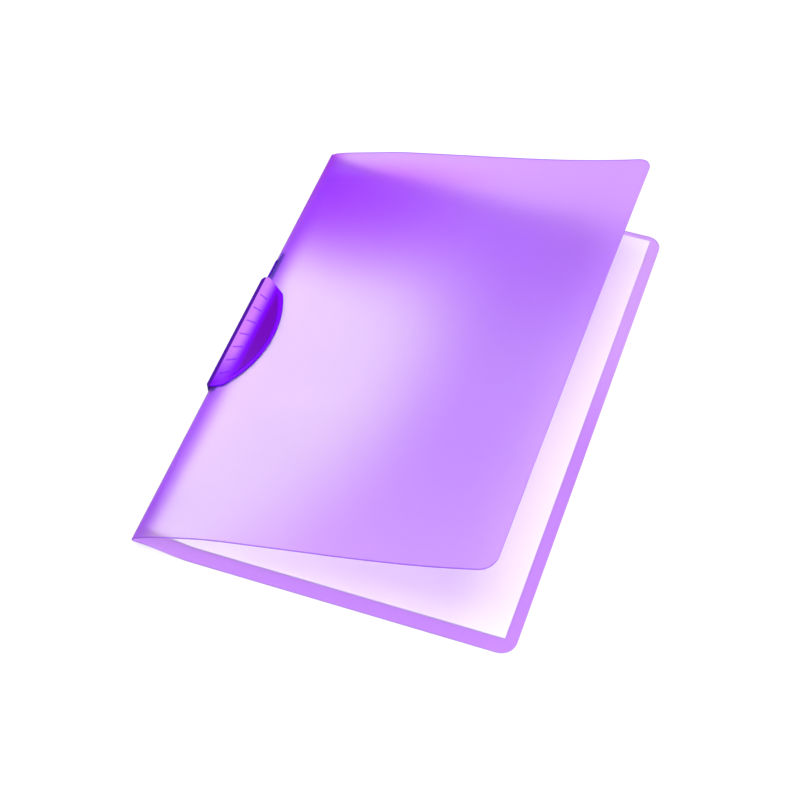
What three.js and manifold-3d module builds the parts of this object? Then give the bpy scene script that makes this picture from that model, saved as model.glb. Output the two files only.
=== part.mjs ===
// A4 clip folder: one folded sheet of translucent film, lying half open, with a swing clip on its spine that
// pinches both covers on a thin stack of paper. Millimetres, +Z up. The folder lies on z = 0 with its spine
// along Y; the covers reach towards +X and the near end of the spine is at -Y.
import * as THREE from "three";
import { mergeVertices } from "three/addons/utils/BufferGeometryUtils.js";
import Module from "manifold-3d";

const wasm = await Module();
wasm.setup();

// Film covers
const COVER_WIDTH = 220;
const COVER_LENGTH = 310;
const FILM_THICKNESS = 0.45;
const COVER_CORNER_RADIUS = 9;
const SPINE_HEIGHT = 6; // middle of the fold above the table
const FRONT_EXTRA_WIDTH = 1; // lets the front cover's edge meet the back one over the sheets
const FIT_GAP = 0.3; // between pieces that lie on each other

// Front cover as it stands open; near is the -Y end and far the +Y end
const NEAR_OPEN_ANGLE = 22;
const FAR_OPEN_ANGLE = 18.5;
const HINGE_SLOPE = 8; // degrees at the bend line beside the clip
const EDGE_CURL = 2.5; // degrees that the free edge turns up past the open angle
const NEAR_BULGE = 18; // the springy fold lifts the film at both ends, where the clip leaves it free
const FAR_BULGE = 13;
const BULGE_TOP = 57; // spine to the top of the bulge
const BULGE_FULLNESS = 0.8; // below 1 the film rises from the fold more steeply
const EDGE_BOW = 0.8; // the free edge draws in this far half-way along
const EDGE_SKEW = 2.5; // and stands this much further out at the near end, less at the far end
const RAISED_STRIP = 17; // the strip beside the fold reaches this far past the bend line where it bulges,
const RAISED_STRIP_BULGE = 1.6; // from this lift on, so that the opening cover swings clear of it
const HINGE_SETBACK = 4.5; // widest part of the clip to the bend line
const HINGE_GAP = 0.3;

// Back cover and sheets, which slope down from the spine to the table
const END_SLOPE_START = 4;
const END_SLOPE_LENGTH = 32;
const CLIP_SLOPE_LENGTH = 25;
const SLOPE_SPREAD = 70; // along Y, from the clipped stretch to the slope of the ends

const SHEET_WIDTH = 210;
const SHEET_LENGTH = 297;
const STACK_HEIGHT = 1;
const SHEET_END_MARGIN = 8.6; // near end of the covers to the sheets

// Swing clip
const CLIP_REACH = 21.5; // spine to the widest place of the half-moon
const CLIP_TIP_Y = 110; // near end of the covers to the clip's free tip
const PIVOT_Y = 195;
const PIVOT_INSET = 1.4; // spine to the pivot
const ARM_THICKNESS = 1.5;
const WEB_THICKNESS = 1.7;
const WEB_END_SETBACK = 2.5; // pivot to the end of the web, so that the clip can turn
const TIP_RADIUS = 1.2;
const MOON_RADIUS = 75; // long arc of the half-moon
const MOON_MIDDLE_Y = 158; // its widest place
const NEAR_CORNER_RADIUS = 3; // where the long arc turns in towards the tip
const NEAR_CORNER_Y = 116;
const SHOULDER_RADIUS = 4; // and towards the pivot
const SHOULDER_Y = 186.3;
const POST_RADIUS = 0.75;
const PAD_START = 9.5; // spine to the straight side of the raised pad
const PAD_REACH = 19.6; // spine to its widest place
const PAD_RADIUS = 66;
const PAD_MIDDLE_Y = 156.5;
const PAD_HEIGHT = 0.6;
const RIB_COUNT = 7;
const RIB_LENGTH = 6;
const RIB_WIDTH = 0.8;
const RIB_HEIGHT = 0.35;
const RIB_END_MARGIN = 12; // clip tip, or pivot, to the first rib
const RIB_FOCUS_X = 50; // the ribs fan out from a point this far from the spine

// Clip mount in the spine fold
const MOUNT_LENGTH = 19.3; // pivot to the mount's far end
const MOUNT_FACE_DEPTH = 1;
const MOUNT_DEPTH = 2.9;
const HOOK_RADIUS = 1.4;
const POST_CLEARANCE = 0.05;
const HOOK_MOUTH = 1.2;
const MOUNT_TAIL = 7; // tongue that runs on inside the fold past the mount's face
const MOUNT_FACE_START = 3.7; // pivot to the near end of the mount's face

// Heights of the clipped layers
const layerOffset = STACK_HEIGHT / 2 + FIT_GAP + FILM_THICKNESS / 2;
const frontFilmTop = SPINE_HEIGHT + layerOffset + FILM_THICKNESS / 2;
const backFilmMiddle = SPINE_HEIGHT - layerOffset;
const backFilmBottom = backFilmMiddle - FILM_THICKNESS / 2;
const foldCentreX = layerOffset + FILM_THICKNESS / 2;

const hingeX = CLIP_REACH + HINGE_SETBACK;
const panelWidth = COVER_WIDTH + FRONT_EXTRA_WIDTH - hingeX;
const webOuter = FIT_GAP + WEB_THICKNESS; // outside the spine
const earRadius = PIVOT_INSET + webOuter;
const slotStart = PIVOT_Y - HOOK_RADIUS - 2 * FIT_GAP;
const slotEnd = PIVOT_Y + MOUNT_LENGTH + FIT_GAP;

const COLOURS = {
  film: 0xb98df0,
  clip: 0x6a1fc4,
  paper: 0xf6f4f8,
};

const radians = THREE.MathUtils.degToRad;
const smoothstep = THREE.MathUtils.smoothstep;
const lerp = THREE.MathUtils.lerp;

function material(colour, roughness) {
  return new THREE.MeshStandardMaterial({ color: colour, roughness, metalness: 0 });
}

// A geometry with only its positions, as a solid that can be joined and cut.
function solid(geometry) {
  const bare = new THREE.BufferGeometry();
  bare.setAttribute("position", geometry.getAttribute("position"));
  if (geometry.index) bare.setIndex(geometry.index);
  const merged = mergeVertices(bare, 1e-4);
  const vertProperties = merged.attributes.position.array;
  const triVerts = new Uint32Array(merged.index.array);
  return new wasm.Manifold(new wasm.Mesh({ numProp: 3, vertProperties, triVerts }));
}

function geometryOf(body) {
  const mesh = body.getMesh();
  const geometry = new THREE.BufferGeometry();
  geometry.setAttribute("position", new THREE.BufferAttribute(new Float32Array(mesh.vertProperties), 3));
  geometry.setIndex(new THREE.BufferAttribute(new Uint32Array(mesh.triVerts), 1));
  return geometry;
}

function joined(bodies) {
  return bodies.reduce((whole, body) => whole.add(body));
}

function box(x, y, z) {
  const geometry = new THREE.BoxGeometry(x[1] - x[0], y[1] - y[0], z[1] - z[0]);
  geometry.translate((x[0] + x[1]) / 2, (y[0] + y[1]) / 2, (z[0] + z[1]) / 2);
  return solid(geometry);
}

function post(radius, x, y, z) {
  const geometry = new THREE.CylinderGeometry(radius, radius, z[1] - z[0], 24);
  geometry.rotateX(Math.PI / 2);
  geometry.translate(x, y, (z[0] + z[1]) / 2);
  return solid(geometry);
}

function prism(shape, z) {
  const geometry = new THREE.ExtrudeGeometry(shape, {
    depth: z[1] - z[0],
    bevelEnabled: false,
    curveSegments: 28,
  });
  geometry.translate(0, 0, z[0]);
  return solid(geometry);
}

function evenly(from, to, steps) {
  return Array.from({ length: steps + 1 }, (_, i) => lerp(from, to, i / steps));
}

// A closed sheet on a surface given by (column, row), thickened by above and below along its normal.
function sheet(columns, rows, surface, above, below) {
  const positions = [];
  const step = 1e-3;
  const side = (offset) => {
    for (const u of columns) {
      for (const v of rows) {
        const point = surface(u, v);
        const alongU = surface(u + step, v).sub(surface(u - step, v));
        const alongV = surface(u, v + step).sub(surface(u, v - step));
        const normal = alongU.cross(alongV).normalize();
        positions.push(...point.addScaledVector(normal, offset).toArray());
      }
    }
  };
  side(above);
  side(-below);
  const last = [columns.length - 1, rows.length - 1];
  const at = (layer, i, j) => (layer * columns.length + i) * rows.length + j;
  const index = [];
  const quad = (a, b, c, d) => index.push(a, b, c, a, c, d);
  for (let i = 0; i < last[0]; i++) {
    for (let j = 0; j < last[1]; j++) {
      quad(at(0, i, j), at(0, i + 1, j), at(0, i + 1, j + 1), at(0, i, j + 1));
      quad(at(1, i, j), at(1, i, j + 1), at(1, i + 1, j + 1), at(1, i + 1, j));
    }
    quad(at(1, i, 0), at(1, i + 1, 0), at(0, i + 1, 0), at(0, i, 0));
    quad(at(0, i, last[1]), at(0, i + 1, last[1]), at(1, i + 1, last[1]), at(1, i, last[1]));
  }
  for (let j = 0; j < last[1]; j++) {
    quad(at(0, 0, j), at(0, 0, j + 1), at(1, 0, j + 1), at(1, 0, j));
    quad(at(1, last[0], j), at(1, last[0], j + 1), at(0, last[0], j + 1), at(0, last[0], j));
  }
  const geometry = new THREE.BufferGeometry();
  geometry.setAttribute("position", new THREE.BufferAttribute(new Float32Array(positions), 3));
  geometry.setIndex(index);
  return geometry;
}

// How far a cover's end draws in at a distance from its free edge, on the corner's arc.
function cornerInset(fromEdge) {
  const along = COVER_CORNER_RADIUS - Math.max(0, fromEdge);
  return along > 0 ? COVER_CORNER_RADIUS - Math.sqrt(Math.max(0, COVER_CORNER_RADIUS ** 2 - along ** 2)) : 0;
}

function coverY(fromEdge, row) {
  const inset = cornerInset(fromEdge);
  return lerp(inset, COVER_LENGTH - inset, row);
}

// Distances from the free edge that give an even arc at the corners, from the corner's start to the edge.
function cornerColumns(steps) {
  return evenly(0, Math.PI / 2, steps)
    .slice(1)
    .map((angle) => COVER_CORNER_RADIUS * (1 - Math.sin(angle)));
}

// 1 along the clip, 0 at both ends of the covers.
function clipped(y) {
  const low = smoothstep(y, CLIP_TIP_Y - SLOPE_SPREAD, CLIP_TIP_Y);
  const high = smoothstep(y, PIVOT_Y + earRadius, PIVOT_Y + earRadius + SLOPE_SPREAD);
  return low * (1 - high);
}

// Height of the middle of the back film, which falls from the clipped level to the table.
function backHeight(x, y) {
  const start = lerp(END_SLOPE_START, CLIP_REACH + FIT_GAP, clipped(y));
  const length = lerp(END_SLOPE_LENGTH, CLIP_SLOPE_LENGTH, clipped(y));
  return lerp(backFilmMiddle, FILM_THICKNESS / 2, smoothstep(x, start, start + length));
}

// Lift of the front film at each end, left free by the clip, 0 along the clip.
function bulge(y) {
  const near = Math.max(0, 1 - y / CLIP_TIP_Y);
  const farStart = PIVOT_Y + earRadius;
  const far = Math.max(0, (y - farStart) / (COVER_LENGTH - farStart));
  return NEAR_BULGE * near ** 1.3 + FAR_BULGE * far ** 1.3;
}

function frontReach(y) {
  const along = y / COVER_LENGTH;
  const angle = radians(lerp(NEAR_OPEN_ANGLE, FAR_OPEN_ANGLE, along));
  const width = panelWidth + lerp(EDGE_SKEW, -EDGE_SKEW, along);
  const reach = width * Math.cos(angle) - EDGE_BOW * 4 * along * (1 - along);
  return { angle, reach, rise: width * Math.sin(angle) };
}

// Share of the bulge that the film has at a distance from the spine, with its free edge at end.
function bulgeShare(x, end) {
  const rising = THREE.MathUtils.clamp((x - foldCentreX) / (BULGE_TOP - foldCentreX), 0, 1);
  const falling = THREE.MathUtils.clamp((x - BULGE_TOP) / (end - BULGE_TOP), 0, 1);
  const rise = Math.sin((Math.PI / 2) * rising) ** BULGE_FULLNESS;
  return rise * Math.cos((Math.PI / 2) * falling) ** 2;
}

// Height of the upper face of the front film.
function frontTop(x, y) {
  const { angle, reach, rise } = frontReach(y);
  const startSlope = Math.tan(radians(HINGE_SLOPE));
  const endSlope = Math.tan(angle + radians(EDGE_CURL));
  const t = Math.max(0, (x - hingeX) / reach);
  const height =
    (t ** 3 - 2 * t ** 2 + t) * reach * startSlope +
    (3 * t ** 2 - 2 * t ** 3) * rise +
    (t ** 3 - t ** 2) * reach * endSlope;
  return frontFilmTop + height + bulge(y) * bulgeShare(x, hingeX + reach);
}

// Where the strip beside the fold ends and the turning cover starts.
function coverStart(y) {
  return hingeX + RAISED_STRIP * Math.min(1, bulge(y) / RAISED_STRIP_BULGE);
}

const rows = evenly(0, 1, 24);
const slopeColumns = evenly(foldCentreX, CLIP_REACH + FIT_GAP + CLIP_SLOPE_LENGTH, 14);

// Film slot for the mount's face and the post
function spineSlot() {
  const height = [backFilmBottom - 1, frontFilmTop + 1];
  const face = box([-1, MOUNT_FACE_DEPTH + FIT_GAP], [slotStart, slotEnd], height);
  return face.add(post(HOOK_RADIUS + FIT_GAP, PIVOT_INSET, PIVOT_Y, height));
}

// Front strip beside the fold, spine fold and back panel, as one folded sheet
function backCover() {
  const stripLength = hingeX - HINGE_GAP - foldCentreX;
  const foldLength = Math.PI * layerOffset;
  const backStart = stripLength + foldLength;
  const surface = (along, row) => {
    const backX = foldCentreX + along - backStart;
    const y = coverY(along > backStart ? COVER_WIDTH - backX : COVER_CORNER_RADIUS, row);
    if (along < stripLength) {
      const x = lerp(coverStart(y) - HINGE_GAP, foldCentreX, along / stripLength);
      return new THREE.Vector3(x, y, frontTop(x, y) - FILM_THICKNESS / 2);
    }
    if (along < backStart) {
      const turn = (along - stripLength) / layerOffset;
      const x = foldCentreX - layerOffset * Math.sin(turn);
      return new THREE.Vector3(x, y, SPINE_HEIGHT + layerOffset * Math.cos(turn));
    }
    return new THREE.Vector3(backX, y, backHeight(backX, y));
  };
  const columns = [
    ...evenly(0, stripLength, 10),
    ...evenly(stripLength, backStart, 8).slice(1),
    ...slopeColumns.slice(1).map((x) => backStart + x - foldCentreX),
  ];
  const flatStart = slopeColumns.at(-1);
  const flat = evenly(flatStart, COVER_WIDTH - COVER_CORNER_RADIUS, 5).slice(1);
  const corner = cornerColumns(6).map((distance) => COVER_WIDTH - distance);
  columns.push(...[...flat, ...corner].map((x) => backStart + x - foldCentreX));
  const half = FILM_THICKNESS / 2;
  return geometryOf(solid(sheet(columns, rows, surface, half, half)).subtract(spineSlot()));
}

function frontCover() {
  const cornerStart = 1 - COVER_CORNER_RADIUS / panelWidth;
  const surface = (share, row) => {
    const y = coverY((1 - share) * panelWidth, row);
    const { reach } = frontReach(y);
    const panelX = lerp(coverStart(y) + HINGE_GAP, hingeX + cornerStart * reach, share / cornerStart);
    const x = share < cornerStart ? panelX : hingeX + share * reach;
    return new THREE.Vector3(x, y, frontTop(x, y));
  };
  const bend = evenly(0, cornerStart / 2, 10);
  const rest = evenly(cornerStart / 2, cornerStart, 6).slice(1);
  const corner = cornerColumns(6).map((distance) => 1 - distance / panelWidth);
  return sheet([...bend, ...rest, ...corner], rows, surface, 0, FILM_THICKNESS);
}

function paperStack() {
  const start = MOUNT_DEPTH + FIT_GAP;
  const lift = FILM_THICKNESS / 2 + FIT_GAP;
  const surface = (x, row) => {
    const y = SHEET_END_MARGIN + row * SHEET_LENGTH;
    return new THREE.Vector3(x, y, backHeight(x, y) + lift);
  };
  const bent = slopeColumns.filter((x) => x > start + 1);
  const flat = evenly(bent.at(-1), start + SHEET_WIDTH, 4).slice(1);
  return sheet([start, ...bent, ...flat], rows, surface, STACK_HEIGHT, 0);
}

const pivot = new THREE.Vector2(PIVOT_INSET, PIVOT_Y);
const tipCentre = new THREE.Vector2(TIP_RADIUS - webOuter, CLIP_TIP_Y + TIP_RADIUS);
const moonCentre = new THREE.Vector2(CLIP_REACH - MOON_RADIUS, MOON_MIDDLE_Y);

// Centre of a corner circle that touches the long arc from inside, at a height along the spine.
function cornerCentre(radius, y) {
  const across = Math.sqrt((MOON_RADIUS - radius) ** 2 - (y - moonCentre.y) ** 2);
  return new THREE.Vector2(moonCentre.x + across, y);
}

// Direction from two circles' centres to the straight side that touches both on the right of the way between them.
function sideAngle(from, fromRadius, to, toRadius) {
  const way = to.clone().sub(from);
  return Math.atan2(way.y, way.x) - Math.acos((fromRadius - toRadius) / way.length());
}

// Half-moon with a pointed tip, a long arc, a shoulder and a round ear about the pivot
function halfMoon() {
  const nearCorner = cornerCentre(NEAR_CORNER_RADIUS, NEAR_CORNER_Y);
  const shoulder = cornerCentre(SHOULDER_RADIUS, SHOULDER_Y);
  const toNear = Math.atan2(nearCorner.y - moonCentre.y, nearCorner.x - moonCentre.x);
  const toShoulder = Math.atan2(shoulder.y - moonCentre.y, shoulder.x - moonCentre.x);
  const tipSide = sideAngle(tipCentre, TIP_RADIUS, nearCorner, NEAR_CORNER_RADIUS);
  const earSide = sideAngle(shoulder, SHOULDER_RADIUS, pivot, earRadius);
  const shape = new THREE.Shape();
  shape.moveTo(-webOuter, tipCentre.y);
  shape.absarc(tipCentre.x, tipCentre.y, TIP_RADIUS, -Math.PI, tipSide, false);
  shape.absarc(nearCorner.x, nearCorner.y, NEAR_CORNER_RADIUS, tipSide, toNear, false);
  shape.absarc(moonCentre.x, moonCentre.y, MOON_RADIUS, toNear, toShoulder, false);
  shape.absarc(shoulder.x, shoulder.y, SHOULDER_RADIUS, toShoulder, earSide, false);
  shape.absarc(pivot.x, pivot.y, earRadius, earSide, Math.PI, false);
  return shape;
}

function raisedPad() {
  const angle = Math.acos((PAD_START - PAD_REACH + PAD_RADIUS) / PAD_RADIUS);
  const shape = new THREE.Shape();
  shape.absarc(PAD_REACH - PAD_RADIUS, PAD_MIDDLE_Y, PAD_RADIUS, -angle, angle, false);
  return shape;
}

function gripRib(y, z) {
  const focus = new THREE.Vector2(RIB_FOCUS_X, moonCentre.y);
  const geometry = new THREE.BoxGeometry(RIB_LENGTH, RIB_WIDTH, z[1] - z[0]);
  geometry.rotateZ(Math.atan2(focus.y - y, focus.x));
  geometry.translate(PAD_START / 2, y, (z[0] + z[1]) / 2);
  return solid(geometry);
}

function clip() {
  const frontArm = [frontFilmTop + FIT_GAP, frontFilmTop + FIT_GAP + ARM_THICKNESS];
  const backArm = [backFilmBottom - FIT_GAP - ARM_THICKNESS, backFilmBottom - FIT_GAP];
  const webEnd = PIVOT_Y - WEB_END_SETBACK;
  const webHeight = [backArm[0], frontArm[1]];
  const parts = [
    prism(halfMoon(), frontArm),
    prism(halfMoon(), backArm),
    box([-webOuter, -FIT_GAP], [tipCentre.y, webEnd], webHeight),
    post(WEB_THICKNESS / 2, -FIT_GAP - WEB_THICKNESS / 2, tipCentre.y, webHeight),
    post(POST_RADIUS, PIVOT_INSET, PIVOT_Y, [backArm[1] - FIT_GAP, frontArm[0] + FIT_GAP]),
    prism(raisedPad(), [frontArm[1] - FIT_GAP, frontArm[1] + PAD_HEIGHT]),
    prism(raisedPad(), [backArm[0] - PAD_HEIGHT, backArm[0] + FIT_GAP]),
  ];
  for (const y of evenly(CLIP_TIP_Y + RIB_END_MARGIN, PIVOT_Y - RIB_END_MARGIN, RIB_COUNT - 1)) {
    parts.push(gripRib(y, [frontArm[1] - FIT_GAP, frontArm[1] + RIB_HEIGHT]));
    parts.push(gripRib(y, [backArm[0] - RIB_HEIGHT, backArm[0] + FIT_GAP]));
  }
  return geometryOf(joined(parts));
}

// Outer face in the slot, tongue inside the fold and the snap hook around the clip's post
function clipMount() {
  const faceHeight = [backFilmBottom, frontFilmTop];
  const tongueHeight = [SPINE_HEIGHT - STACK_HEIGHT / 2, SPINE_HEIGHT + STACK_HEIGHT / 2];
  const end = PIVOT_Y + MOUNT_LENGTH;
  const tongueStart = foldCentreX - FIT_GAP / 2;
  const body = joined([
    box([0, MOUNT_FACE_DEPTH], [PIVOT_Y + MOUNT_FACE_START, end], faceHeight),
    box([MOUNT_FACE_DEPTH / 2, MOUNT_DEPTH], [PIVOT_Y, end - MOUNT_FACE_DEPTH], tongueHeight),
    box([tongueStart, MOUNT_DEPTH], [PIVOT_Y, end + MOUNT_TAIL], tongueHeight),
    post(HOOK_RADIUS, PIVOT_INSET, PIVOT_Y, faceHeight),
  ]);
  const cut = [faceHeight[0] - 1, faceHeight[1] + 1];
  const bore = post(POST_RADIUS + POST_CLEARANCE, PIVOT_INSET, PIVOT_Y, cut);
  const mouthSides = [PIVOT_INSET - HOOK_MOUTH / 2, PIVOT_INSET + HOOK_MOUTH / 2];
  const mouth = box(mouthSides, [PIVOT_Y - 2 * HOOK_RADIUS, PIVOT_Y], cut);
  return geometryOf(body.subtract(bore).subtract(mouth));
}

function piece(name, geometry, finish) {
  const mesh = new THREE.Mesh(geometry, finish);
  mesh.name = name;
  return mesh;
}

// The origin is under the middle of the folder, on the table.
const folder = new THREE.Group();
folder.position.set((webOuter - COVER_WIDTH) / 2, -COVER_LENGTH / 2, 0);
folder.add(
  piece("back_cover", backCover(), material(COLOURS.film, 0.45)),
  piece("front_cover", frontCover(), material(COLOURS.film, 0.45)),
  piece("paper", paperStack(), material(COLOURS.paper, 0.9)),
  piece("clip", clip(), material(COLOURS.clip, 0.3)),
  piece("clip_mount", clipMount(), material(COLOURS.clip, 0.35)),
);

export default folder;
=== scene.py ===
"""Looks for the clip folder: translucent film, moulded clip and paper. Metres, +Z up."""
import math
import random

import bmesh
import bpy
from mathutils import Matrix, Vector

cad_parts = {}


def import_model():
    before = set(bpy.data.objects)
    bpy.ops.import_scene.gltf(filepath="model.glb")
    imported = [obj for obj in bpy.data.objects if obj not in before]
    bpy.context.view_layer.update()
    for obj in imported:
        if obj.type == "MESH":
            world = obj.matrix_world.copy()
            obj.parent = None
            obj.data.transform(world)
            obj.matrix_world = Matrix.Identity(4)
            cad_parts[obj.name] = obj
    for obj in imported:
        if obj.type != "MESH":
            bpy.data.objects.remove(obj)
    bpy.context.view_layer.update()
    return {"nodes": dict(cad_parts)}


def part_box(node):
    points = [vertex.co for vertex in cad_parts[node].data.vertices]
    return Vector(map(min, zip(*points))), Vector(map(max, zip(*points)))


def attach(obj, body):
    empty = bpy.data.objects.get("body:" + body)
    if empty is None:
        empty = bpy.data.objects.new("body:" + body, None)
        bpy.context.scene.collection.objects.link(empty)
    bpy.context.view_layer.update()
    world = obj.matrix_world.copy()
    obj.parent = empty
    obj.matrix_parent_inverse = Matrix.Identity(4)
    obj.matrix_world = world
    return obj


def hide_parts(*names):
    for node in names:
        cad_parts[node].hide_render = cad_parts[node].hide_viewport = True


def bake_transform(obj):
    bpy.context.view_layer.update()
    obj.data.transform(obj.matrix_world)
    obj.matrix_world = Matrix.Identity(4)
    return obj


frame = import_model()

MM = 0.001

# Camera, from the photograph's straight edges
CAMERA_PLACE = Vector((0.2400, -0.6175, 0.8601))
CAMERA_TARGET = Vector((-0.0023, -0.0134, 0.0))
CAMERA_ROLL = 2.84  # degrees, clockwise
CAMERA_LENS = 83.1
SENSOR = 36.0

# Folder sizes, as in the model
FILM = 0.45 * MM
GAP = 0.3 * MM
STACK = 1.0 * MM
CORNER_RADIUS = 9 * MM
SPINE_HEIGHT = 6 * MM
NEAR_OPEN_ANGLE = math.radians(22)
FAR_OPEN_ANGLE = math.radians(18.5)
HINGE_SLOPE = math.radians(8)
EDGE_CURL = math.radians(2.5)
NEAR_BULGE = 18 * MM
FAR_BULGE = 13 * MM
BULGE_TOP = 57 * MM  # spine to the top of the bulge at each free end
BULGE_FULLNESS = 0.8
EDGE_BOW = 0.8 * MM
EDGE_SKEW = 2.5 * MM
FRONT_EXTRA_WIDTH = 1 * MM
END_SLOPE_START = 4 * MM
END_SLOPE_LENGTH = 32 * MM
CLIP_SLOPE_LENGTH = 25 * MM
SLOPE_SPREAD = 70 * MM
HINGE_SETBACK = 4.5 * MM

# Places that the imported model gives: the spine's outer face, the near end, the clip and the sheets
back_low, back_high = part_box("back_cover")
clip_low, clip_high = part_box("clip")
sheet_low, sheet_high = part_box("paper")
SPINE_X = back_low.x
NEAR_Y = back_low.y
WIDTH = back_high.x - back_low.x
LENGTH = back_high.y - back_low.y
CLIP_REACH = clip_high.x - SPINE_X
CLIP_TIP = clip_low.y - NEAR_Y
CLIP_TOP = clip_high.y - NEAR_Y

LAYER = STACK / 2 + GAP + FILM / 2
FRONT_TOP = SPINE_HEIGHT + LAYER + FILM / 2
BACK_MIDDLE = SPINE_HEIGHT - LAYER
FOLD_CENTRE = LAYER + FILM / 2
HINGE = CLIP_REACH + HINGE_SETBACK
PANEL = WIDTH + FRONT_EXTRA_WIDTH - HINGE

# Width over which the front film's bend by the hinge line is smoothed
BEND_EASE = 10 * MM

# Opening in the fold for the clip's mount
mount_low, mount_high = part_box("clip_mount")
SLOT_START = mount_low.y - NEAR_Y - 0.75 * MM
SLOT_END = mount_high.y - NEAR_Y - 6.7 * MM


def lerp(a, b, t):
    return a + (b - a) * t


def smoothstep(x, low, high):
    t = min(1.0, max(0.0, (x - low) / (high - low)))
    return t * t * (3 - 2 * t)


def evenly(a, b, steps):
    return [lerp(a, b, i / steps) for i in range(steps + 1)]


def place(x, y, z):
    """A point given by its distance from the spine, from the near end and from the table."""
    return Vector((SPINE_X + x, NEAR_Y + y, z))


# Shapes of the film, in distances from the spine and the near end


def corner_inset(from_edge):
    along = CORNER_RADIUS - max(0.0, from_edge)
    return CORNER_RADIUS - math.sqrt(max(0.0, CORNER_RADIUS**2 - along**2)) if along > 0 else 0.0


def cover_y(from_edge, row):
    inset = corner_inset(from_edge)
    return lerp(inset, LENGTH - inset, row)


def corner_distances(steps):
    return [CORNER_RADIUS * (1 - math.sin(math.pi / 2 * i / steps)) for i in range(1, steps + 1)]


def clipped(y):
    low = smoothstep(y, CLIP_TIP - SLOPE_SPREAD, CLIP_TIP)
    return low * (1 - smoothstep(y, CLIP_TOP, CLIP_TOP + SLOPE_SPREAD))


def back_height(x, y):
    start = lerp(END_SLOPE_START, CLIP_REACH + GAP, clipped(y))
    length = lerp(END_SLOPE_LENGTH, CLIP_SLOPE_LENGTH, clipped(y))
    return lerp(BACK_MIDDLE, FILM / 2, smoothstep(x, start, start + length))


def bulge(y):
    near = max(0.0, 1 - y / CLIP_TIP)
    far = max(0.0, (y - CLIP_TOP) / (LENGTH - CLIP_TOP))
    return NEAR_BULGE * near**1.3 + FAR_BULGE * far**1.3


def front_reach(y):
    along = y / LENGTH
    angle = lerp(NEAR_OPEN_ANGLE, FAR_OPEN_ANGLE, along)
    width = PANEL + lerp(EDGE_SKEW, -EDGE_SKEW, along)
    return angle, width * math.cos(angle) - EDGE_BOW * 4 * along * (1 - along), width * math.sin(angle)


def open_rise(x, y):
    """Rise of the opened cover past the bend line, without the bulge."""
    angle, reach, rise = front_reach(y)
    t = min(1.0, max(0.0, (x - HINGE) / reach))
    height = (t**3 - 2 * t**2 + t) * reach * math.tan(HINGE_SLOPE)
    height += (3 * t**2 - 2 * t**3) * rise
    return height + (t**3 - t**2) * reach * math.tan(angle + EDGE_CURL)


def front_top(x, y):
    """Upper face of the front film over a point, with the bend eased over the film's own stiffness."""
    reach = front_reach(y)[1]
    ease = BEND_EASE * (1 - smoothstep(x, HINGE + BEND_EASE, HINGE + 4 * BEND_EASE))
    height = sum(open_rise(x + ease * k / 4, y) for k in range(-4, 5)) / 9
    rising = min(1.0, max(0.0, (x - FOLD_CENTRE) / (BULGE_TOP - FOLD_CENTRE)))
    falling = min(1.0, max(0.0, (x - BULGE_TOP) / (HINGE + reach - BULGE_TOP)))
    hump = math.sin(math.pi / 2 * rising) ** BULGE_FULLNESS * math.cos(math.pi / 2 * falling) ** 2
    return FRONT_TOP + height + bulge(y) * hump


# Mesh building


def make_object(name, verts, faces, materials, indices=None, smooth=True):
    mesh = bpy.data.meshes.new(name)
    mesh.from_pydata([tuple(v) for v in verts], [], faces)
    for m in materials:
        mesh.materials.append(m)
    if indices:
        mesh.polygons.foreach_set("material_index", indices)
    mesh.polygons.foreach_set("use_smooth", [smooth] * len(faces))
    rest = mesh.attributes.new(REST_PLACE, "FLOAT_VECTOR", "POINT")
    rest.data.foreach_set("vector", [c for v in verts for c in v])
    mesh.update()
    obj = bpy.data.objects.new(name, mesh)
    bpy.context.scene.collection.objects.link(obj)
    return obj


def film_sheet(name, columns, rows, surface, thickness, materials, kept=None):
    """A closed sheet round the middle that surface gives.

    kept says which cells are there, and the outermost cells have the material of the cut edge.
    """
    step = 0.01 * MM
    middle, normals = [], []
    for u in columns:
        for v in rows:
            along_u = surface(u + step, v) - surface(u - step, v)
            along_v = surface(u, v + step) - surface(u, v - step)
            middle.append(surface(u, v))
            normals.append(along_u.cross(along_v).normalized())
    count = len(middle)
    verts = [p + n * thickness / 2 for p, n in zip(middle, normals)]
    verts += [p - n * thickness / 2 for p, n in zip(middle, normals)]
    last_u, last_v = len(columns) - 1, len(rows) - 1

    def at(layer, i, j):
        return layer * count + i * len(rows) + j

    def solid_cell(i, j):
        inside = 0 <= i < last_u and 0 <= j < last_v
        return inside and (kept is None or kept(columns[i], columns[i + 1], rows[j], rows[j + 1]))

    faces, indices = [], []
    for i in range(last_u):
        for j in range(last_v):
            if not solid_cell(i, j):
                continue
            rim = int(j == 0 or j == last_v - 1 or i == last_u - 1)
            faces.append((at(0, i, j), at(0, i + 1, j), at(0, i + 1, j + 1), at(0, i, j + 1)))
            faces.append((at(1, i, j), at(1, i, j + 1), at(1, i + 1, j + 1), at(1, i + 1, j)))
            indices += [rim, rim]
            walls = (
                ((i, j - 1), (i, j), (i + 1, j)),
                ((i + 1, j), (i + 1, j), (i + 1, j + 1)),
                ((i, j + 1), (i + 1, j + 1), (i, j + 1)),
                ((i - 1, j), (i, j + 1), (i, j)),
            )
            for neighbour, a, b in walls:
                if not solid_cell(*neighbour):
                    faces.append((at(1, *a), at(1, *b), at(0, *b), at(0, *a)))
                    indices.append(1)
    used = sorted({v for face in faces for v in face})
    renumber = {v: k for k, v in enumerate(used)}
    faces = [tuple(renumber[v] for v in face) for face in faces]
    return make_object(name, [verts[v] for v in used], faces, materials, indices)


# Materials

# Each vertex's place before any joint turns, which the film's grain, tint and painted shade follow
REST_PLACE = "rest_place"


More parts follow.
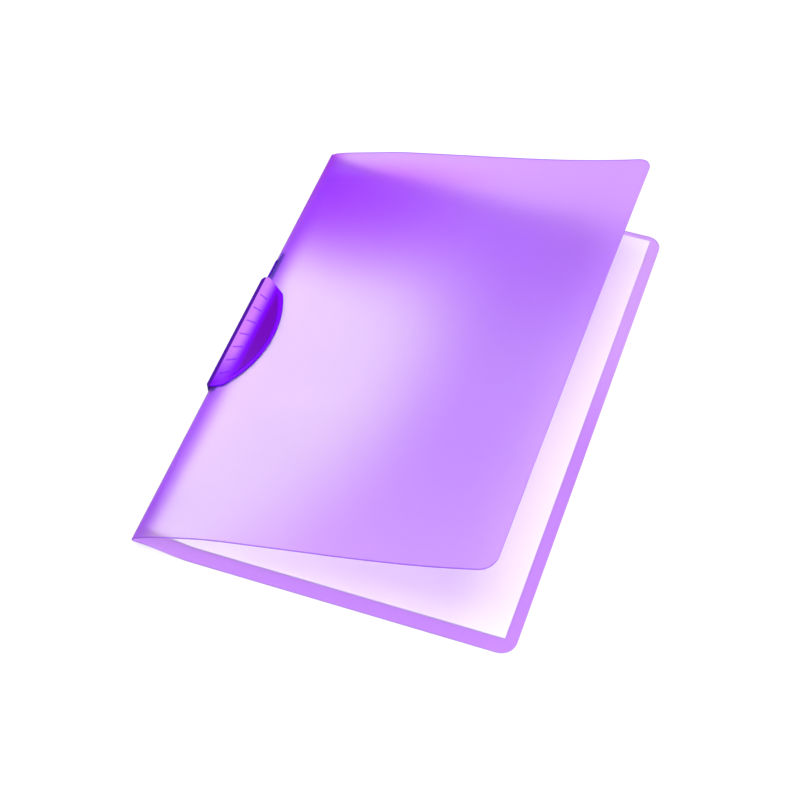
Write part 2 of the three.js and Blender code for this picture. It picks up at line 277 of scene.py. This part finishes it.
def new_material(name):
    m = bpy.data.materials.new(name)
    m.use_nodes = True
    tree = m.node_tree
    return m, tree, tree.nodes["Principled BSDF"]


def node(tree, kind, **values):
    n = tree.nodes.new(kind)
    for key, value in values.items():
        setattr(n, key, value)
    return n


def rest_place(tree):
    return node(tree, "ShaderNodeAttribute", attribute_name=REST_PLACE).outputs["Vector"]


def object_place(tree):
    return node(tree, "ShaderNodeTexCoord").outputs["Object"]


def grain(tree, where, scale, detail=2.0, roughness=0.5):
    n = node(tree, "ShaderNodeTexNoise")
    n.inputs["Scale"].default_value = scale
    n.inputs["Detail"].default_value = detail
    n.inputs["Roughness"].default_value = roughness
    tree.links.new(where, n.inputs["Vector"])
    return n.outputs["Fac"]


def between(tree, value, low, high, kind="SMOOTHSTEP"):
    """0 where value is at low or before it, 1 at high."""
    n = node(tree, "ShaderNodeMapRange", interpolation_type=kind)
    n.inputs["From Min"].default_value = low
    n.inputs["From Max"].default_value = high
    tree.links.new(value, n.inputs["Value"])
    return n.outputs["Result"]


def math_node(tree, operation, a, b=None):
    n = node(tree, "ShaderNodeMath", operation=operation)
    for socket, value in zip(n.inputs, (a, b)):
        if isinstance(value, (int, float)):
            socket.default_value = value
        elif value is not None:
            tree.links.new(value, socket)
    return n.outputs["Value"]


def mix_colour(tree, share, a, b):
    n = node(tree, "ShaderNodeMix", data_type="RGBA")
    tree.links.new(share, n.inputs["Factor"])
    for socket, value in zip(n.inputs[6:8], (a, b)):
        if isinstance(value, tuple):
            socket.default_value = (*value, 1)
        else:
            tree.links.new(value, socket)
    return n.outputs[2]


def multiply_colour(tree, a, b):
    n = node(tree, "ShaderNodeMix", data_type="RGBA", blend_type="MULTIPLY")
    n.inputs["Factor"].default_value = 1.0
    tree.links.new(a, n.inputs[6])
    tree.links.new(b, n.inputs[7])
    return n.outputs[2]


def bump(tree, source, shader, strength, distance):
    b = node(tree, "ShaderNodeBump")
    b.inputs["Strength"].default_value = strength
    b.inputs["Distance"].default_value = distance
    tree.links.new(source, b.inputs["Height"])
    tree.links.new(b.outputs["Normal"], shader.inputs["Normal"])


# Where the painted shade in the film's tint runs: from the first place of each pair to the second
FREE_SHADE_HEIGHTS = (18 * MM, 52 * MM)
FAR_SHADE_PLACES = (10 * MM, 120 * MM)
FAR_SHADE_SLANT = 0.35
CORNER_SHADE_FROM_SPINE = (30 * MM, SPINE_X)
CORNER_SHADE_PAST_CLIP = (40 * MM, 140 * MM)
CORNER_SHADE_BEFORE_EDGE = (153 * MM, 131 * MM)
FOLD_SHADE_PLACES = (SPINE_X + 16 * MM, SPINE_X)

FILM_CLEAR = (0.95, 0.82, 1.0)
# Painted shade: the film's tint deepened where it stands high above the paper
FILM_FREE_SHADE = (0.76, 0.50, 1.0)
# Painted shade: the tint deepened towards the far end, where the paper under the film gets less light
FILM_FAR_SHADE = (0.68, 0.35, 1.0)
# Painted shade: the tint deepened most in the far corner by the spine
FILM_CORNER_SHADE = (0.58, 0.06, 1.0)
# Painted shade: the tint deepened along the fold, where the film curves down to the spine
FILM_FOLD_SHADE = (0.62, 0.24, 1.0)
FILM_BACK = (0.68, 0.34, 1.0)
# Painted light: the back film made paler towards its far end and far corner
FILM_BACK_FAR_LIGHT = (0.78, 0.47, 1.0)
FRONT_EDGE = (0.46, 0.16, 0.95)
BACK_EDGE = (0.62, 0.32, 0.98)
CLOUD = 0.04


def film_material(name, clear, free, far, corner, fold, transmission=0.97):
    """Frosted film with a faint cloud in its tint.

    Painted shade deepens the tint where the film stands free, towards the far end, in its corner and by
    the fold; the back film's far colour is paler, painted light.
    """
    m, tree, shader = new_material(name)
    where = rest_place(tree)
    parts = node(tree, "ShaderNodeSeparateXYZ")
    tree.links.new(where, parts.inputs["Vector"])
    x, y, z = parts.outputs
    far_shade_along = math_node(tree, "ADD", y, math_node(tree, "MULTIPLY", x, FAR_SHADE_SLANT))
    shade_past_clip = between(tree, y, *CORNER_SHADE_PAST_CLIP)
    corner_shade_share = math_node(tree, "MULTIPLY", shade_past_clip, between(tree, x, *CORNER_SHADE_FROM_SPINE))
    corner_shade_share = math_node(tree, "MULTIPLY", corner_shade_share, between(tree, y, *CORNER_SHADE_BEFORE_EDGE))
    pale = tuple(c * (1 - CLOUD) for c in clear)
    strong = tuple(min(1.0, c * (1 + CLOUD)) for c in clear)
    tint_and_shade = mix_colour(tree, grain(tree, where, 18.0, detail=3.0), pale, strong)
    # Painted shade from here on: deeper tint by height, towards the far end, in the far corner and by the
    # fold
    tint_and_shade = mix_colour(tree, between(tree, z, *FREE_SHADE_HEIGHTS), tint_and_shade, free)
    tint_and_shade = mix_colour(tree, between(tree, far_shade_along, *FAR_SHADE_PLACES), tint_and_shade, far)
    tint_and_shade = mix_colour(tree, corner_shade_share, tint_and_shade, corner)
    fold_shade_tint = mix_colour(tree, shade_past_clip, fold, corner)
    tint_and_shade = mix_colour(tree, between(tree, x, *FOLD_SHADE_PLACES), tint_and_shade, fold_shade_tint)
    tree.links.new(tint_and_shade, shader.inputs["Base Color"])
    shader.inputs["Transmission Weight"].default_value = transmission
    shader.inputs["Roughness"].default_value = 0.36
    shader.inputs["IOR"].default_value = 1.35
    bump(tree, grain(tree, where, 2600.0, roughness=0.7), shader, 0.25, 0.06 * MM)
    return m


def cut_edge_material(name, colour):
    return film_material(name, colour, colour, colour, colour, colour, transmission=0.7)


# The paper is white: its violet cast is painted light from the film, and the two tones are random fibre
# grain
PAPER_DIM_FIBRES_VIOLET_LIT = (0.80, 0.76, 0.94)
PAPER_PALE_FIBRES_VIOLET_LIT = (0.85, 0.81, 0.96)


def paper_material():
    m, tree, shader = new_material("white_paper")
    fibres = grain(tree, object_place(tree), 900.0, detail=5.0, roughness=0.7)
    # Fibre grain between two tones, both with the painted violet light
    tree.links.new(mix_colour(tree, fibres, PAPER_DIM_FIBRES_VIOLET_LIT, PAPER_PALE_FIBRES_VIOLET_LIT), shader.inputs["Base Color"])
    shader.inputs["Roughness"].default_value = 0.85
    bump(tree, fibres, shader, 0.15, 0.03 * MM)
    return m


CLIP_LIGHT = (0.48, 0.16, 0.84)
CLIP_DEEP = (0.17, 0.0, 0.90)
CLIP_THICK = (0.12, 0.0, 0.36)
CLIP_WEB = (0.06, 0.0, 0.26)
MOUNT_DEEP = (0.07, 0.0, 0.42)
PAD_FACES = (3.1 * MM, 3.6 * MM)  # above and below the middle of the spine
CLIP_TIP_DEPTH = 36 * MM


def clip_material(name, web_width, web_colour):
    """Tinted plastic, darkest where the half-moon pad and the web make it thick."""
    m, tree, shader = new_material(name)
    where = object_place(tree)
    parts = node(tree, "ShaderNodeSeparateXYZ")
    tree.links.new(where, parts.inputs["Vector"])
    x, y, z = parts.outputs
    from_middle = math_node(tree, "ABSOLUTE", math_node(tree, "SUBTRACT", z, SPINE_HEIGHT))
    towards_pad = between(tree, x, SPINE_X + 3 * MM, SPINE_X + 10 * MM)
    into_pad = between(tree, x, SPINE_X + 9 * MM, SPINE_X + 13 * MM)
    towards_tip = between(tree, y, clip_low.y + CLIP_TIP_DEPTH, clip_low.y)
    in_web = between(tree, x, SPINE_X + web_width, SPINE_X + web_width - 0.5 * MM)
    strip = mix_colour(tree, towards_pad, CLIP_LIGHT, CLIP_DEEP)
    strip = mix_colour(tree, towards_tip, strip, CLIP_DEEP)
    thick = mix_colour(tree, into_pad, CLIP_DEEP, CLIP_THICK)
    colour = mix_colour(tree, between(tree, from_middle, *PAD_FACES), strip, thick)
    colour = mix_colour(tree, in_web, colour, web_colour)
    cloudy = mix_colour(tree, grain(tree, where, 90.0), (0.92, 0.85, 0.95), (1.0, 1.0, 1.0))
    tree.links.new(multiply_colour(tree, colour, cloudy), shader.inputs["Base Color"])
    shader.inputs["Roughness"].default_value = 0.3
    shader.inputs["Specular IOR Level"].default_value = 0.08
    bump(tree, grain(tree, where, 700.0), shader, 0.08, 0.05 * MM)
    return m


front_film_tint_and_shade = film_material("frosted_film", FILM_CLEAR, FILM_FREE_SHADE, FILM_FAR_SHADE, FILM_CORNER_SHADE, FILM_FOLD_SHADE)
back_film_tint_and_light = film_material(
    "frosted_film_back", FILM_BACK, FILM_BACK, FILM_BACK_FAR_LIGHT, FILM_BACK_FAR_LIGHT, FILM_BACK
)
front_edge = cut_edge_material("front_cut_edge", FRONT_EDGE)
back_edge = cut_edge_material("back_cut_edge", BACK_EDGE)
paper_white = paper_material()
clip_plastic = clip_material("clip_plastic", 0.5 * MM, CLIP_WEB)
mount_plastic = clip_material("mount_plastic", 3.5 * MM, MOUNT_DEEP)

# Film pieces

RIM = 0.6 * MM
FRONT_END = WIDTH + FRONT_EXTRA_WIDTH - FOLD_CENTRE
BACK_END = WIDTH - FOLD_CENTRE
ROWS = sorted(
    {
        0.0,
        RIM / LENGTH,
        *evenly(0.006, 0.994, 130),
        SLOT_START / LENGTH,
        SLOT_END / LENGTH,
        1 - RIM / LENGTH,
        1.0,
    }
)
FOLD_COLUMNS = [LAYER * a for a in evenly(-math.pi / 2, 0, 6)[:-1]]


def fold_point(u, row, side):
    """On the half-round fold, from its crease at u = -LAYER * pi / 2 to the panel that starts at u = 0."""
    turn = -u / LAYER
    x = FOLD_CENTRE - LAYER * math.sin(turn)
    return place(x, row * LENGTH, SPINE_HEIGHT + side * LAYER * math.cos(turn))


def outside_slot(u_low, u_high, row_low, row_high):
    middle = (row_low + row_high) / 2 * LENGTH
    return u_high > 1e-9 or not SLOT_START < middle < SLOT_END


def front_film():
    def surface(u, row):
        if u < 0:
            return fold_point(u, row, 1)
        y = cover_y(FRONT_END - u, row)
        end = HINGE + front_reach(y)[1]
        x = lerp(FOLD_CENTRE, end, u / FRONT_END)
        return place(x, y, front_top(x, y) - FILM / 2)

    columns = [*FOLD_COLUMNS, *evenly(0, FRONT_END - CORNER_RADIUS, 120)]
    columns += [FRONT_END - d for d in corner_distances(12)]
    return film_sheet("front_film", columns, ROWS, surface, FILM, [front_film_tint_and_shade, front_edge], outside_slot)


def back_film():
    def surface(u, row):
        if u < 0:
            return fold_point(u, row, -1)
        x = FOLD_CENTRE + u
        y = cover_y(BACK_END - u, row)
        return place(x, y, back_height(x, y))

    columns = [*FOLD_COLUMNS, *evenly(0, 56 * MM, 40), *evenly(56 * MM, BACK_END - CORNER_RADIUS, 30)[1:]]
    columns += [BACK_END - d for d in corner_distances(12)]
    return film_sheet("back_film", columns, ROWS, surface, FILM, [back_film_tint_and_light, back_edge], outside_slot)


front = front_film()
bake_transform(front)
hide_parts("front_cover")

back = back_film()
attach(back, "root")
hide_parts("back_cover")

# Sheets of paper, not quite squared up

SHEETS = 10
SHEET_THICKNESS = STACK / SHEETS


def paper_sheets():
    dice = random.Random(4)
    start = sheet_low.x - SPINE_X
    end = sheet_high.x - SPINE_X
    near = sheet_low.y - NEAR_Y
    far = sheet_high.y - NEAR_Y
    columns = [*evenly(0, 0.25, 22), *evenly(0.25, 1, 12)[1:]]
    verts, faces = [], []
    for k in range(SHEETS):
        shift_x, shift_y = dice.uniform(0, 0.45) * MM, dice.uniform(-0.4, 0.4) * MM
        lift = FILM / 2 + GAP + (k + 0.5) * SHEET_THICKNESS

        def surface(u, row):
            x = lerp(start, end - 0.45 * MM, u) + shift_x
            y = lerp(near + 0.4 * MM, far - 0.4 * MM, row) + shift_y
            return place(x, y, back_height(x, y) + lift)

        one = film_sheet("sheet", columns, evenly(0, 1, 26), surface, SHEET_THICKNESS * 0.9, [])
        base = len(verts)
        verts += [tuple(v.co) for v in one.data.vertices]
        faces += [tuple(base + v for v in p.vertices) for p in one.data.polygons]
        bpy.data.objects.remove(one)
    return make_object("paper_sheets", verts, faces, [paper_white], smooth=False)


sheets = paper_sheets()
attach(sheets, "root")
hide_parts("paper")

# Clip and its mount, with every moulded edge rounded


def rounded_copy(node_name, name, radius, material):
    bm = bmesh.new()
    bm.from_mesh(frame["nodes"][node_name].data)
    bmesh.ops.remove_doubles(bm, verts=bm.verts, dist=1e-6)
    bmesh.ops.dissolve_limit(bm, angle_limit=math.radians(1), verts=bm.verts, edges=bm.edges)
    sharp = [e for e in bm.edges if len(e.link_faces) == 2 and e.calc_face_angle() > math.radians(35)]
    bmesh.ops.bevel(
        bm, geom=sharp, offset=radius, segments=3, profile=0.5, affect="EDGES", clamp_overlap=True
    )
    bmesh.ops.triangulate(bm, faces=[f for f in bm.faces if len(f.verts) > 4])
    mesh = bpy.data.meshes.new(name)
    bm.to_mesh(mesh)
    bm.free()
    mesh.materials.append(material)
    mesh.polygons.foreach_set("use_smooth", [True] * len(mesh.polygons))
    mesh.set_sharp_from_angle(angle=math.radians(40))
    obj = bpy.data.objects.new(name, mesh)
    bpy.context.scene.collection.objects.link(obj)
    return obj


clip = rounded_copy("clip", "swing_clip", 0.12 * MM, clip_plastic)
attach(clip, "clip")
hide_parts("clip")

mount = rounded_copy("clip_mount", "clip_holder", 0.06 * MM, mount_plastic)
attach(mount, "root")
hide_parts("clip_mount")

# Stage


FLOOR_HALF = 3.0
FLOOR_DROP = 0.3 * MM  # keeps the film's underside clear of the floor
FLOOR_GREY = 0.36
FLOOR_GLOW = 0.66
WORLD_LIGHT = 0.22


def floor():
    """White where the camera sees it, also through the film, with the soft shadow of what stands on it."""
    half = FLOOR_HALF
    corners = ((-half, -half), (half, -half), (half, half), (-half, half))
    verts = [(x, y, -FLOOR_DROP) for x, y in corners]
    m, tree, shader = new_material("pale_floor")
    shader.inputs["Base Color"].default_value = (*[FLOOR_GREY] * 3, 1)
    shader.inputs["Roughness"].default_value = 0.9
    shader.inputs["Specular IOR Level"].default_value = 0.0
    shader.inputs["Emission Color"].default_value = (1, 1, 1, 1)
    path = node(tree, "ShaderNodeLightPath")
    seen = math_node(tree, "MAXIMUM", path.outputs["Is Camera Ray"], path.outputs["Is Glossy Ray"])
    seen = math_node(tree, "MAXIMUM", seen, path.outputs["Is Transmission Ray"])
    tree.links.new(math_node(tree, "MULTIPLY", seen, FLOOR_GLOW), shader.inputs["Emission Strength"])
    obj = make_object("floor", verts, [(0, 1, 2, 3)], [m], smooth=False)


def lamp(name, place_at, size, power, sheen_only=False):
    data = bpy.data.lights.new(name, "AREA")
    data.shape = "SQUARE"
    data.size = size
    data.energy = power
    obj = bpy.data.objects.new(name, data)
    obj.location = place_at
    obj.rotation_euler = (-Vector(place_at)).to_track_quat("-Z", "Y").to_euler()
    obj.visible_diffuse = not sheen_only
    obj.visible_transmission = not sheen_only
    bpy.context.scene.collection.objects.link(obj)


def world():
    """White where the camera sees it, and a soft light on everything else."""
    w = bpy.data.worlds.new("studio")
    w.use_nodes = True
    background = w.node_tree.nodes["Background"]
    background.inputs["Color"].default_value = (1, 1, 1, 1)
    path = node(w.node_tree, "ShaderNodeLightPath")
    strength = between(w.node_tree, path.outputs["Is Camera Ray"], 0, 1, "LINEAR")
    strength.node.inputs["To Min"].default_value = WORLD_LIGHT
    w.node_tree.links.new(strength, background.inputs["Strength"])
    bpy.context.scene.world = w


def camera():
    data = bpy.data.cameras.new("camera")
    data.lens = CAMERA_LENS
    data.sensor_width = SENSOR
    obj = bpy.data.objects.new("camera", data)
    aim = (CAMERA_TARGET - CAMERA_PLACE).to_track_quat("-Z", "Y").to_matrix().to_4x4()
    roll = Matrix.Rotation(math.radians(-CAMERA_ROLL), 4, "Z")
    obj.matrix_world = Matrix.Translation(CAMERA_PLACE) @ aim @ roll
    bpy.context.scene.collection.objects.link(obj)
    bpy.context.scene.camera = obj


floor()
world()
lamp("top", (0.0, -0.1, 1.6), size=1.5, power=37)
lamp("front", (0.45, -1.0, 0.8), size=0.6, power=5)
lamp("sheen", (-1.0, 0.72, 0.78), size=0.6, power=2.5, sheen_only=True)
camera()
bpy.context.scene.view_settings.view_transform = "Standard"
